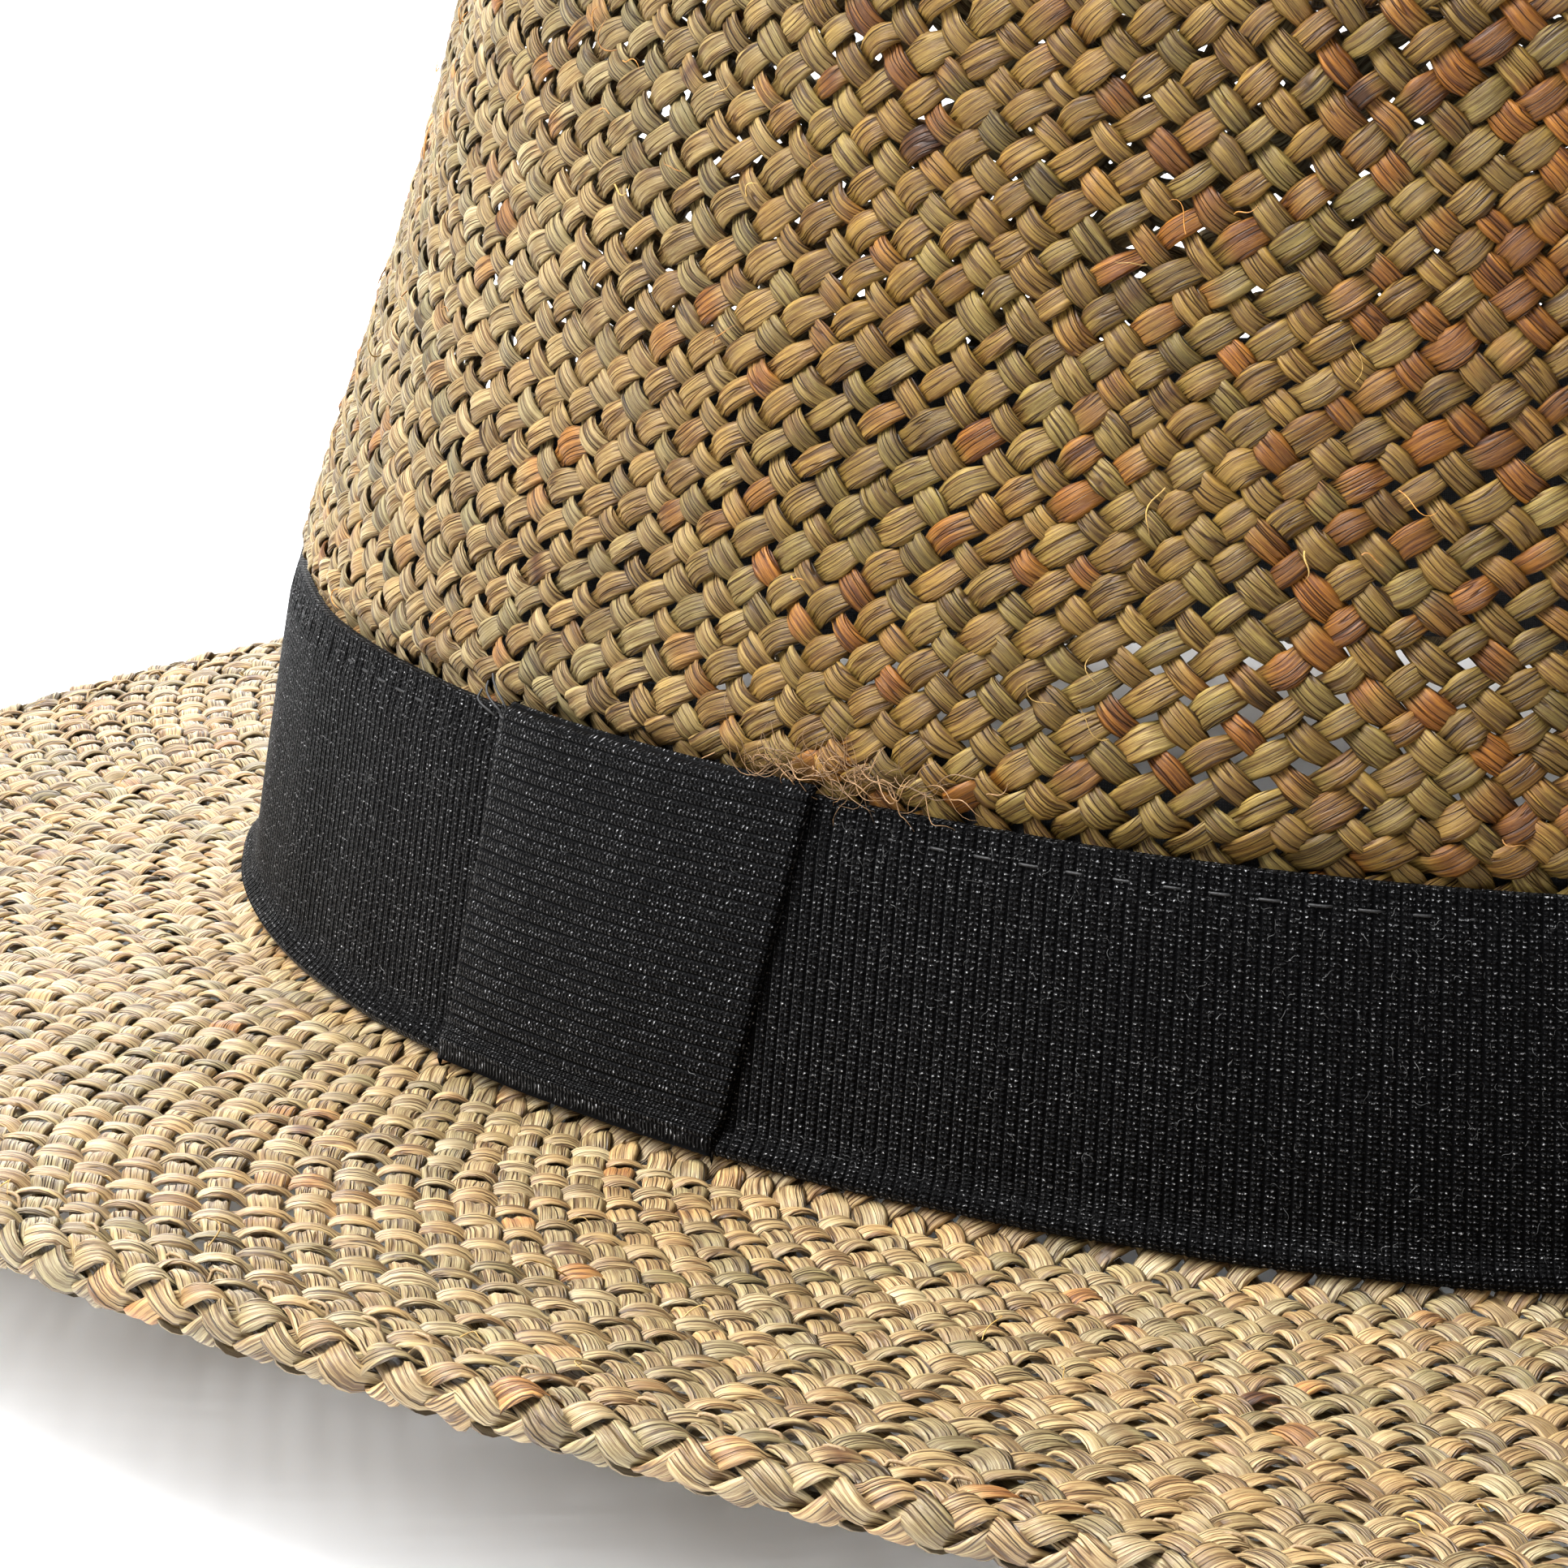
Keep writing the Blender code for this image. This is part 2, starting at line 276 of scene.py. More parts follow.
def grid_quads(rows, columns):
    """Quads of a grid of points."""
    i = np.arange(rows - 1)[:, None] * columns
    j = np.arange(columns - 1)[None, :]
    corners = [i + j, i + j + 1, i + columns + j + 1, i + columns + j]
    return np.stack(np.broadcast_arrays(*corners), axis=-1).reshape(-1, 4)


class Parts:
    """Gathers many tubes or patches that make up one piece."""

    def __init__(self):
        self.points, self.quads, self.uv, self.tint = [], [], [], []
        self.count = 0

    def add(self, points, quads, uv=None, tint=None):
        self.points.append(points)
        self.quads.append(quads + self.count)
        self.count += len(points)
        if uv is not None:
            self.uv.append(uv)
        if tint is not None:
            self.tint.append(tint)

    def piece(self, name, material, slot, replaces):
        uv = np.concatenate(self.uv) if self.uv else None
        tint = np.concatenate(self.tint) if self.tint else None
        points, quads = np.concatenate(self.points), np.concatenate(self.quads)
        mesh_piece(name, points, quads, material, uv, tint, replaces)


def unit(v):
    return v / np.maximum(np.linalg.norm(v, axis=-1, keepdims=True), 1e-12)


def waves(rng, along, lengths):
    """A smooth wander from -1 to 1 along a strand, from a few wavelengths in metres."""
    total = np.zeros_like(along)
    for length in lengths:
        total += rng.uniform(0.6, 1) * np.sin(TURN * (along / length + rng.uniform()))
    return total / len(lengths)


def thread(path, radius, sides=6, taper=False):
    """A round thread along a path: its points and quads."""
    tangent = unit(np.gradient(path, axis=0))
    side = unit(np.cross(tangent, [0.13, 0.21, 0.97]))
    up = np.cross(side, tangent)
    around = np.linspace(0, TURN, sides, endpoint=False)
    size = np.full(len(path), radius)
    if taper:
        size = radius * np.clip(1.15 - np.linspace(0, 1, len(path)) ** 2, 0.1, 1)
    ring = side[:, None] * np.cos(around)[:, None] + up[:, None] * np.sin(around)[:, None]
    points = path[:, None] + ring * size[:, None, None]
    return points.reshape(-1, 3), ring_quads(len(path), sides)


# ---------------------------------------------------------------- materials


class Nodes:
    """A short way to lay out one material's nodes."""

    def __init__(self, name):
        self.material = bpy.data.materials.new(name)
        self.material.use_nodes = True
        self.tree = self.material.node_tree
        self.shader = self.tree.nodes["Principled BSDF"]

    def add(self, kind, inputs=None, **settings):
        node = self.tree.nodes.new(kind)
        for key, value in settings.items():
            setattr(node, key, value)
        for key, value in (inputs or {}).items():
            self.put(node.inputs[key], value)
        return node

    def put(self, socket, value):
        if isinstance(value, bpy.types.NodeSocket):
            self.tree.links.new(value, socket)
        else:
            socket.default_value = value

    def shade(self, **values):
        for key, value in values.items():
            self.put(self.shader.inputs[key.replace("_", " ")], value)

    def scaled(self, vector, scale):
        return self.add("ShaderNodeMapping", {"Vector": vector, "Scale": scale}).outputs[0]

    def noise(self, vector, scale, detail=2.0, roughness=0.5):
        inputs = {"Vector": vector, "Scale": scale, "Detail": detail, "Roughness": roughness}
        return self.add("ShaderNodeTexNoise", inputs).outputs["Fac"]

    def fit(self, value, low, high, to_low, to_high):
        inputs = {"Value": value, 1: low, 2: high, 3: to_low, 4: to_high}
        return self.add("ShaderNodeMapRange", inputs).outputs[0]

    def math(self, operation, a, b=0.0):
        return self.add("ShaderNodeMath", {0: a, 1: b}, operation=operation).outputs[0]

    def mix(self, a, b, factor, blend="MIX"):
        node = self.add("ShaderNodeMix", data_type="RGBA", blend_type=blend)
        for index, value in ((0, factor), (6, a), (7, b)):
            self.put(node.inputs[index], value)
        return node.outputs[2]

    def bump(self, height, distance, strength=1.0):
        inputs = {"Height": height, "Distance": distance, "Strength": strength}
        return self.add("ShaderNodeBump", inputs).outputs[0]


def straw_material(name, gloss):
    """Dry leaf straw: lengthwise fibres and fold lines darkened with painted shade, tint from each
    strand, a dull waxy sheen.
    """
    n = Nodes(name)
    uv = n.add("ShaderNodeUVMap", uv_map="along").outputs[0]
    tint = n.add("ShaderNodeAttribute", attribute_name="tint").outputs["Color"]
    fibre = n.noise(n.scaled(uv, (4600, 150, 1)), 1.0, 4.0, 0.75)
    fold_noise = n.noise(n.scaled(uv, (1500, 75, 1)), 1.0, 1.0, 0.4)
    fold = n.math("ABSOLUTE", n.math("SUBTRACT", fold_noise, 0.5))
    fold = n.fit(fold, 0.0, 0.030, 0.0, 1.0)
    blotch = n.noise(n.scaled(uv, (900, 260, 1)), 1.0, 3.0, 0.65)
    shade = n.fit(fibre, 0.38, 0.62, 0.36, 1.44)
    # Painted shade: the fold lines darken the colour down to 0.3 of its tone, and darker tones turn
    # warmer.
    shade = n.math("MULTIPLY", shade, n.fit(fold, 0.0, 1.0, 0.30, 1.0))
    shade = n.math("MULTIPLY", shade, n.fit(blotch, 0.3, 0.7, 0.82, 1.12))
    warm = n.math("MULTIPLY", shade, n.fit(shade, 0.4, 1.0, 0.72, 1.0))
    low = n.math("MULTIPLY", shade, n.fit(shade, 0.4, 1.0, 0.50, 1.0))
    grey = n.add("ShaderNodeCombineColor", {0: shade, 1: warm, 2: low}).outputs[0]
    n.shade(Base_Color=n.mix(tint, grey, 1.0, "MULTIPLY"))
    n.shade(Roughness=n.fit(fibre, 0.3, 0.7, 0.60, 0.40))
    n.shader.inputs["Specular IOR Level"].default_value = gloss
    height = n.math("ADD", n.math("MULTIPLY", fold, 0.9), n.math("MULTIPLY", fibre, 0.7))
    n.shade(Normal=n.bump(height, 0.00020))
    return n.material


RIB_PITCH = 0.00055
YARN_PITCH = 0.00042
RIBBON_BLACK = (0.0012, 0.0012, 0.0014, 1)
RIBBON_GLINT = (0.70, 0.70, 0.72, 1)


def ribbon_material(name, level_ribs):
    """Black grosgrain: short yarn floats across each rib, dark grooves, pale flecks on the rib tops
    as painted glints.
    """
    n = Nodes(name)
    uv = n.add("ShaderNodeUVMap", uv_map="along").outputs[0]
    part = n.add("ShaderNodeSeparateXYZ", {"Vector": uv}).outputs
    rib_place, yarn_place = (part["Y"], part["X"]) if level_ribs else (part["X"], part["Y"])
    yarn_wander = n.noise(uv, 1500.0, 2.0, 0.6)
    yarn_phase = n.math("ADD", n.math("MULTIPLY", yarn_place, TURN / YARN_PITCH),
                        n.math("MULTIPLY", yarn_wander, 5.0))
    yarn = n.math("SINE", yarn_phase)
    groove_phase = n.math("MULTIPLY", rib_place, math.pi / RIB_PITCH)
    rise = n.math("ABSOLUTE", n.math("SINE", groove_phase))
    pair = n.math("ABSOLUTE", n.math("SINE", n.math("MULTIPLY", groove_phase, 0.5)))
    groove = n.math("MULTIPLY", n.fit(rise, 0.10, 0.70, 0.25, 1.0),
                    n.fit(pair, 0.10, 0.55, 0.0, 1.0))
    fleck = n.noise(uv, 3400.0, 3.0, 0.75)
    # Painted glints: pale flecks on the yarn floats of the rib tops, kept out of the grooves.
    pale = n.math("MULTIPLY", n.fit(fleck, 0.53, 0.70, 0.0, 1.0),
                  n.fit(yarn, -0.2, 0.9, 0.05, 1.0))
    pale = n.math("MULTIPLY", n.math("POWER", pale, 1.8), groove)
    n.shade(Base_Color=n.mix(RIBBON_BLACK, RIBBON_GLINT, pale))
    n.shade(Roughness=n.fit(fleck, 0.3, 0.7, 0.50, 0.36))
    n.shader.inputs["Specular IOR Level"].default_value = 0.03
    n.shader.inputs["Sheen Weight"].default_value = 0.07
    n.shader.inputs["Sheen Roughness"].default_value = 0.30
    height = n.math("ADD", n.math("MULTIPLY", yarn, 0.35), n.math("MULTIPLY", fleck, 0.8))
    n.shade(Normal=n.bump(n.math("MULTIPLY", height, groove), 0.00016))
    return n.material


def cloth_material(name, colour, darker, weave_scale=1400.0, roughness=0.85):
    """Plain woven cloth with a visible thread grid."""
    n = Nodes(name)
    uv = n.add("ShaderNodeUVMap", uv_map="along").outputs[0]
    across = n.add("ShaderNodeTexWave", {"Vector": uv, "Scale": weave_scale, "Distortion": 0.6},
                   bands_direction="X").outputs["Fac"]
    along = n.add("ShaderNodeTexWave", {"Vector": uv, "Scale": weave_scale, "Distortion": 0.6},
                  bands_direction="Y").outputs["Fac"]
    grid = n.math("MULTIPLY", across, along)
    slub = n.noise(uv, 700.0, 3.0, 0.6)
    n.shade(Base_Color=n.mix(darker, colour, n.fit(n.math("ADD", grid, slub), 0.2, 1.1, 0, 1)))
    n.shade(Roughness=n.fit(slub, 0.3, 0.7, roughness, roughness - 0.12))
    n.shader.inputs["Sheen Weight"].default_value = 0.15
    n.shade(Normal=n.bump(n.math("ADD", grid, slub), 0.0001, 0.7))
    return n.material


def thread_material(name, colour, darker):
    """Twisted sewing thread."""
    n = Nodes(name)
    place = n.add("ShaderNodeTexCoord").outputs["Object"]
    twist = n.noise(n.scaled(place, (1, 1, 1.6)), 5200.0, 2.0, 0.6)
    n.shade(Base_Color=n.mix(darker, colour, n.fit(twist, 0.35, 0.65, 0, 1)))
    n.shade(Roughness=n.fit(twist, 0.3, 0.7, 0.7, 0.5))
    n.shade(Normal=n.bump(twist, 0.00005, 0.8))
    return n.material


def wire_material():
    """Drawn steel with fine lengthwise scratches."""
    n = Nodes("wire_steel")
    place = n.add("ShaderNodeTexCoord").outputs["Object"]
    scratch = n.noise(place, 3000.0, 2.0, 0.6)
    n.shade(Base_Color=n.mix((0.42, 0.42, 0.43, 1), (0.6, 0.6, 0.6, 1), scratch))
    n.shade(Roughness=n.fit(scratch, 0.3, 0.7, 0.25, 0.45))
    n.shader.inputs["Metallic"].default_value = 1.0
    return n.material


# ---------------------------------------------------------------- straw strands

STEPS = 5  # sections between two crossings
STRAND_THICK = 0.00048
LIFT = 0.00045

# A strand's section: places across its half width and heights in half thicknesses, first over
# its top from side to side and then back along its underside.
FOLD_ACROSS = np.array([-1.0, -0.72, -0.37, 0.0, 0.37, 0.72, 1.0, 0.6, 0.0, -0.6])
FOLD_HEIGHT = np.array([-0.15, 0.78, 0.92, 1.0, 0.92, 0.78, -0.15, -0.9, -1.0, -0.9])
SIDES = len(FOLD_ACROSS)
TOP_SIDES = 7
UNDERSIDE_SHIFT = 0.011  # keeps the underside's grain apart from the top's

# Creases at points of the section, as shares of the deepest.
TWO_ROLLS = np.array([0, 0, 0, 1, 0, 0, 0, 0, 0, 0.0])
THREE_ROLLS = np.array([0, 0, 1, 0, 1, 0, 0, 0, 0, 0.0])
LEFT_ROLL = np.array([0, 0, 1, 0, 0, 0, 0, 0, 0, 0.0])
RIGHT_ROLL = np.array([0, 0, 0, 0, 1, 0, 0, 0, 0, 0.0])
ROLLS = (TWO_ROLLS, THREE_ROLLS, LEFT_ROLL, RIGHT_ROLL)

# Straw colours, and the painted light and shade that tint them in each place.
OLIVE = np.array([0.25, 0.200, 0.062])
PALE = np.array([0.52, 0.420, 0.165])
TAN = np.array([0.48, 0.300, 0.085])
ORANGE = np.array([0.46, 0.200, 0.036])
BROWN = np.array([0.15, 0.060, 0.014])
# Painted shade darkens and warms the crown's wall; painted light makes its front and the brim lighter
# and cooler.
CROWN_PAINTED_SHADE = np.array([0.41, 0.360, 0.250])
FRONT_PAINTED_LIGHT = np.array([0.66, 0.720, 1.120])
BRIM_PAINTED_LIGHT = np.array([0.80, 0.820, 1.180])


def by_crossing(rng, cell):
    """A value from -1 to 1 that changes from one crossing to the next."""
    low = int(np.floor(cell.min()))
    values = rng.uniform(-1, 1, int(np.ceil(cell.max())) - low + 2)
    whole = np.floor(cell).astype(int) - low
    share = smooth(cell - np.floor(cell))
    return values[whole] * (1 - share) + values[whole + 1] * share


def strand_tint(rng, along, cell, warmth):
    """Colours along one strand: its own shade, slow change, and rare brown stains."""
    shade = rng.uniform() ** 1.2
    base = OLIVE * (1 - shade) + PALE * shade
    tan = rng.uniform(0.05, 0.85)
    base = base * (1 - tan) + TAN * tan
    slow = waves(rng, along, (0.11, 0.047, 0.021))
    quick = by_crossing(rng, cell)
    # Orange streaks come from each strand's own slow and crossing changes; on the crown the warmth
    # argument adds painted shade.
    warm = np.clip((slow + 0.35 * quick + warmth - 0.50) * 2.6, 0, 1)[:, None]
    spot = by_crossing(rng, cell) + 0.5 * waves(rng, along, (0.06, 0.017))
    stain = np.clip((spot - 1.05) * 4, 0, 1)[:, None]
    light = (1 + 0.18 * slow + 0.16 * by_crossing(rng, cell))[:, None]
    tone = (base * light) * (1 - warm) + ORANGE * (1 + 0.3 * rng.uniform(-1, 1)) * warm
    return np.clip(tone * (1 - stain) + BROWN * stain, 0.01, 0.9)


def along_and_across(path, normal):
    """Unit vectors along a strand and across it, in the plane of the weave."""
    tangent = unit(np.gradient(path, axis=0))
    return tangent, unit(np.cross(normal, tangent))


def woven_line(rng, path, normal, over, along, cell):
    """The strand's middle: it wanders sideways, and goes over and under the ones it crosses."""
    wander = waves(rng, along, (0.09, 0.031)) * 0.00028 + by_crossing(rng, cell) * 0.00022
    side = along_and_across(path, normal)[1]
    lift = np.sign(over) * np.abs(over) ** 0.6 * LIFT * (1 + 0.2 * by_crossing(rng, cell))
    return path + side * wander[:, None] + normal * lift[:, None]


def rolled_directions(rng, path, normal, along, cell):
    """The side and up directions of each section, which rolls a little to and fro."""
    tangent, side = along_and_across(path, normal)
    up = np.cross(tangent, side)
    roll = 0.08 * waves(rng, along, (0.05, 0.017)) + 0.22 * by_crossing(rng, cell)
    cos, sin = np.cos(roll)[:, None], np.sin(roll)[:, None]
    return side * cos + up * sin, up * cos - side * sin


def creases(rng, cell):
    """Depth of the lengthwise creases at each point of each section, from one set to another."""
    one = ROLLS[rng.integers(len(ROLLS))] * rng.uniform(0.2, 0.7)
    other = ROLLS[rng.integers(len(ROLLS))] * rng.uniform(0.2, 0.6)
    swap = np.clip(0.5 + 1.2 * by_crossing(rng, cell), 0, 1)[:, None]
    return one * (1 - swap) + other * swap


def strand(rng, parts, path, normal, over, cell, width, warmth, light, bulk=1.0):
    """Adds one flat strand along a path; over is 1 on top of a crossing and -1 under it."""
    step = np.linalg.norm(np.diff(path, axis=0), axis=1)
    along = np.concatenate([[0], np.cumsum(step)])
    path = woven_line(rng, path, normal, over, along, cell)
    side, up = rolled_directions(rng, path, normal, along, cell)
    pinch_in = 0.12 * by_crossing(rng, cell)
    spread = 0.86 + 0.17 * np.sign(over) * np.abs(over) ** 1.4 + pinch_in * np.abs(over)
    half = width / 2 * spread * (1 + 0.08 * waves(rng, along, (0.04, 0.013)))
    thick = STRAND_THICK / 2 * bulk * (1 + 0.15 * waves(rng, along, (0.03, 0.0083)))
    crease = creases(rng, cell)
    shift = 0.2 * by_crossing(rng, cell)[:, None] * (1 - FOLD_ACROSS**2)
    across = (FOLD_ACROSS + shift) * half[:, None]
    curl = 0.15 * FOLD_ACROSS**2 * (0.6 + 0.4 * over[:, None])
    height = (FOLD_HEIGHT - 1.25 * crease - curl) * thick[:, None]
    points = path[:, None] + side[:, None] * across[..., None] + up[:, None] * height[..., None]
    start = rng.uniform(0, 3.0)
    u = across + np.where(np.arange(SIDES) >= TOP_SIDES, UNDERSIDE_SHIFT, 0.0) + start
    uv = np.stack(np.broadcast_arrays(u, along[:, None] + start * 1.7), axis=-1)
    # Painted light and shade: the tint is scaled by the place's painted light and darkened in the
    # creases by up to half.
    tint = strand_tint(rng, along, cell, warmth) * light
    tint = np.repeat(tint[:, None], SIDES, axis=1) * (1 - 0.5 * crease[..., None])
    parts.add(points.reshape(-1, 3), ring_quads(len(path), SIDES)[:, ::-1],
              uv.reshape(-1, 2), tint.reshape(-1, 3))


# ---------------------------------------------------------------- crown

CROWN_ENDS = 120  # runs of each slant round the crown
CROWN_PITCH = 0.0028
CROWN_SHEAR = -0.09
CROWN_STRAND_WIDTH = 0.0026
CROWN_GROUPS = 10
TIP_ENDS = CROWN_ENDS // 4
MID_STRAW = STRAW_THICK / 2


def crown_rows():
    """A table from row number, counted down from the crest, to the share of the crown's side."""
    share = np.linspace(1, 0, 400)
    a = np.linspace(0, TURN, 73)[:-1]
    ring = crown_point(a[None, :], np.repeat(share[:, None], len(a), axis=1))
    round_it = np.linalg.norm(np.roll(ring, -1, axis=1) - ring, axis=2).sum(axis=1)
    slant = np.arcsin(np.clip(CROWN_PITCH * CROWN_ENDS / round_it, 0, 0.79))
    rise = round_it / (2 * CROWN_ENDS) * np.tan(slant)
    step = np.mean(crown_length(a)) * (share[0] - share[1])
    rows = np.concatenate([[0], np.cumsum(step / ((rise[1:] + rise[:-1]) / 2))])
    return rows, share


def square_to_disc(x, y):
    """The tip's square lattice laid on a disc, even along the rim and smooth in the middle."""
    reach = np.maximum(np.abs(x), np.abs(y))
    safe = np.maximum(reach, 1e-9)
    front_back = np.where(y < 0, x / (8 * safe), 0.5 - x / (8 * safe))
    sides = np.where(x > 0, 0.25 + y / (8 * safe), 0.75 - y / (8 * safe))
    share = np.where(np.abs(y) >= np.abs(x), front_back, sides)
    rim = np.stack([reach * np.sin(TURN * share), -reach * np.cos(TURN * share)])
    round_x, round_y = x * np.sqrt(1 - y**2 / 2), y * np.sqrt(1 - x**2 / 2)
    blend = smooth(np.clip((reach - 0.4) / 0.6, 0, 1))
    return round_x * (1 - blend) + rim[0] * blend, round_y * (1 - blend) + rim[1] * blend


def drifted(share, row, amount):
    """A slow drift of the whole lattice, in shares of a turn and in rows."""
    turn = TURN * share
    sideways = np.sin(5 * turn + 0.23 * row) + np.sin(11 * turn - 0.31 * row + 1.0)
    upward = np.sin(7 * turn - 0.19 * row + 2.0) + np.sin(13 * turn + 0.27 * row)
    return share + sideways * amount * 0.0011, row + upward * amount * 0.22


def crown_leg(share, slant, rows, table):
    """A strand's run down the crown's side from a place on the crest; slant is -1 or 1."""
    turned = share + (slant + CROWN_SHEAR) * rows / (2 * CROWN_ENDS)
    turned, moved = drifted(turned, rows, 0.8 * np.clip(rows / 8, 0, 1))
    down = np.interp(moved, table[0], table[1])
    a = angle_of(turned)
    place, normal = with_normal(crown_point, a, down)
    return place, normal, -slant * np.cos(math.pi * rows)


def rim_share(x, y):
    """How far round the crest a point on the square's edge lies."""
    if abs(y) >= abs(x):
        return x / 8 if y < 0 else 0.5 - x / 8
    return 0.25 + y / 8 if x > 0 else 0.75 - y / 8


def tip_lines():
    """Start, end and lattice numbers of each straight run across the tip's square."""
    for family in (1, -1):
        for index in range(1 - TIP_ENDS, TIP_ENDS + 1):
            c = (index - 0.5) * 2 / TIP_ENDS
            start = (-1 + max(c, 0), -family * 1.0) if c >= 0 else (-1.0, -family * (1 + c))
            end = (1.0, family * (1 - c)) if c >= 0 else (1 + c, family * 1.0)
            yield family, index, start, end


def crown_strand_path(family, index, start, end, table, foot):
    """The whole run of one strand: up one side, over the tip and down the other."""
    count = int(round((end[0] - start[0]) * TIP_ENDS * STEPS))
    run = np.linspace(0, 1, count + 1)
    x = start[0] + (end[0] - start[0]) * run
    y = start[1] + (end[1] - start[1]) * run
    disc_x, disc_y = square_to_disc(x, y)
    place, normal = with_normal(tip_point, disc_x, disc_y)
    other = (x + family * y) * TIP_ENDS / 2 + 0.5
    over = family * np.cos(math.pi * (index + other))
    rows = np.arange(1, int(foot * STEPS)) / STEPS
    legs = []
    for (px, py) in (start, end):
        level = abs(py) >= abs(px)
        slant = -family if level else family
        legs.append(crown_leg(rim_share(px, py), slant, rows, table))
    cell = np.concatenate([-rows[::-1], run * count / STEPS, count / STEPS + rows])
    first, last = legs
    runs = [np.concatenate([f[::-1], m, l]) for f, m, l in zip(first, (place, normal, over), last)]
    return runs + [cell]


def painted_light_by_place(path):
    """Painted light and shade on the crown at each point: lighter and cooler in front, warmer at the
    back.
    """
    from_front = np.degrees(np.abs(np.arctan2(path[:, 0], -path[:, 1])))
    # Painted shade warms the back; painted light lightens and cools the front.
    back = np.clip((from_front - 95) / 55, 0, 1)
    front = np.clip((102 - from_front) / 44, 0, 1)[:, None]
    light = CROWN_PAINTED_SHADE * (1 - front) + FRONT_PAINTED_LIGHT * front
    return 0.06 + 0.40 * smooth(back), light


def weave_crown(material):
    """All the crown's strands, shared out between ten pieces."""
    table = crown_rows()
    foot = table[0][-1]
    lines = list(tip_lines())
    order = sorted(range(len(lines)), key=lambda k: (lines[k][1] * 7 + k) % len(lines))
    for group in range(CROWN_GROUPS):
        parts = Parts()
        for k in order[group::CROWN_GROUPS]:
            rng = np.random.default_rng(100 + k)
            place, normal, over, cell = crown_strand_path(*lines[k], table, foot)
            path = place - normal * MID_STRAW
            low = np.clip((0.095 - path[:, 2]) / 0.045, 0, 1)
            width = CROWN_STRAND_WIDTH * rng.uniform(0.76, 1.06) * (1 + 0.06 * low)
            # The crown's tint carries painted light and shade by place.
            warmth, light = painted_light_by_place(path)
            strand(rng, parts, path, normal, over, cell, width, warmth, light)
        parts.piece(f"crown_straw_{group + 1}", material, "straw", ("straw_body",))


# ---------------------------------------------------------------- brim

BRIM_ENDS = 176
BRIM_SLANT_IN = math.radians(52)
BRIM_SLANT_OUT = math.radians(36)
BRIM_STRAND_WIDTH = 0.0030
BRIM_STRAND_BULK = 1.15
BRIM_WARMTH = -0.15
BRIM_GROUPS = 7


def brim_rows():
    """A table from row number, counted in from under the edge, to metres along the brim."""
    a = np.linspace(0, TURN, 73)[:-1]
    total = np.mean(sum(brim_lengths(a)))
    along = np.linspace(0, total, 500)
    ring = brim_point(a[None, :], np.repeat(along[:, None], len(a), axis=1))
    round_it = np.linalg.norm(np.roll(ring, -1, axis=1) - ring, axis=2).sum(axis=1)
    inward = np.clip((along - HEM_RETURN) / (total - HEM_RETURN), 0, 1)
    slant = BRIM_SLANT_OUT + (BRIM_SLANT_IN - BRIM_SLANT_OUT) * inward
    rise = round_it / (2 * BRIM_ENDS) * np.tan(slant)
    rows = np.concatenate([[0], np.cumsum((along[1] - along[0]) / rise[1:])])
    return rows, along / total


def weave_brim(material):
    """All the brim's strands, wrapped round the hem and back under it, in seven pieces."""
    rows_table, along_table = brim_rows()
    last = rows_table[-1]
    rows = np.arange(0, int(last * STEPS)) / STEPS
    for group in range(BRIM_GROUPS):
        parts = Parts()
        for k in range(group, 2 * BRIM_ENDS, BRIM_GROUPS):
            rng = np.random.default_rng(1000 + k)
            slant = 1 if k % 2 else -1
            share = (k // 2 + slant * rows / 2) / BRIM_ENDS
            share, moved = drifted(share, rows, 0.6 * np.clip((rows - 5) / 6, 0, 1))
            a = angle_of(share, BRIM_OVAL)
            along = np.interp(moved, rows_table, along_table) * sum(brim_lengths(a))
            place, normal = with_normal(brim_point, a, along)
            over = slant * np.cos(math.pi * rows)
            width = BRIM_STRAND_WIDTH * rng.uniform(0.77, 1.02)
            path = place - normal * MID_STRAW
            # The brim's tint carries painted light, lighter and cooler than the crown.
            strand(rng, parts, path, normal, over, rows, width, BRIM_WARMTH, BRIM_PAINTED_LIGHT,
                   BRIM_STRAND_BULK)
        parts.piece(f"brim_straw_{group + 1}", material, "straw", ("straw_body",))


# ---------------------------------------------------------------- band and keeper

RIB_SAMPLES = 4
RIB_HEIGHT = 0.00028
GATHER_DOWN = 0.0021
GATHER_PITCH = 0.0042
BAND_LENGTH = 0.600
BAND_SHARES = (0.2505, 1.2495)  # once round the oval, to a join under the keeper
BAND_FACE = GAP + BAND_THICK
KEEPER_LENGTH = 0.034
KEEPER_TUCK = 0.0012
KEEPER_LEFT = (math.radians(79.5), math.radians(81.0))
KEEPER_RIGHT = (math.radians(97.6), math.radians(101.0))
KEEPER_FACE = BAND_FACE + GAP + KEEPER_THICK


def rib(phase):
    """The rounded rise of the ribs, which lie in pairs; phase counts ribs."""
    pair = np.abs(np.sin(math.pi * phase / 2))
    return 0.35 * np.abs(np.sin(math.pi * phase)) ** 0.7 + 0.65 * pair ** 0.5


def band_heights():
    """Heights of the band's rows of points, close together near the gathering."""
    foot = np.linspace(-0.0008, 0.0040, 5)
    middle = np.linspace(0.0080, 0.0246, 5)
    top = np.linspace(0.0255, BAND_WIDTH, 10)
    return np.concatenate([foot, middle, top])


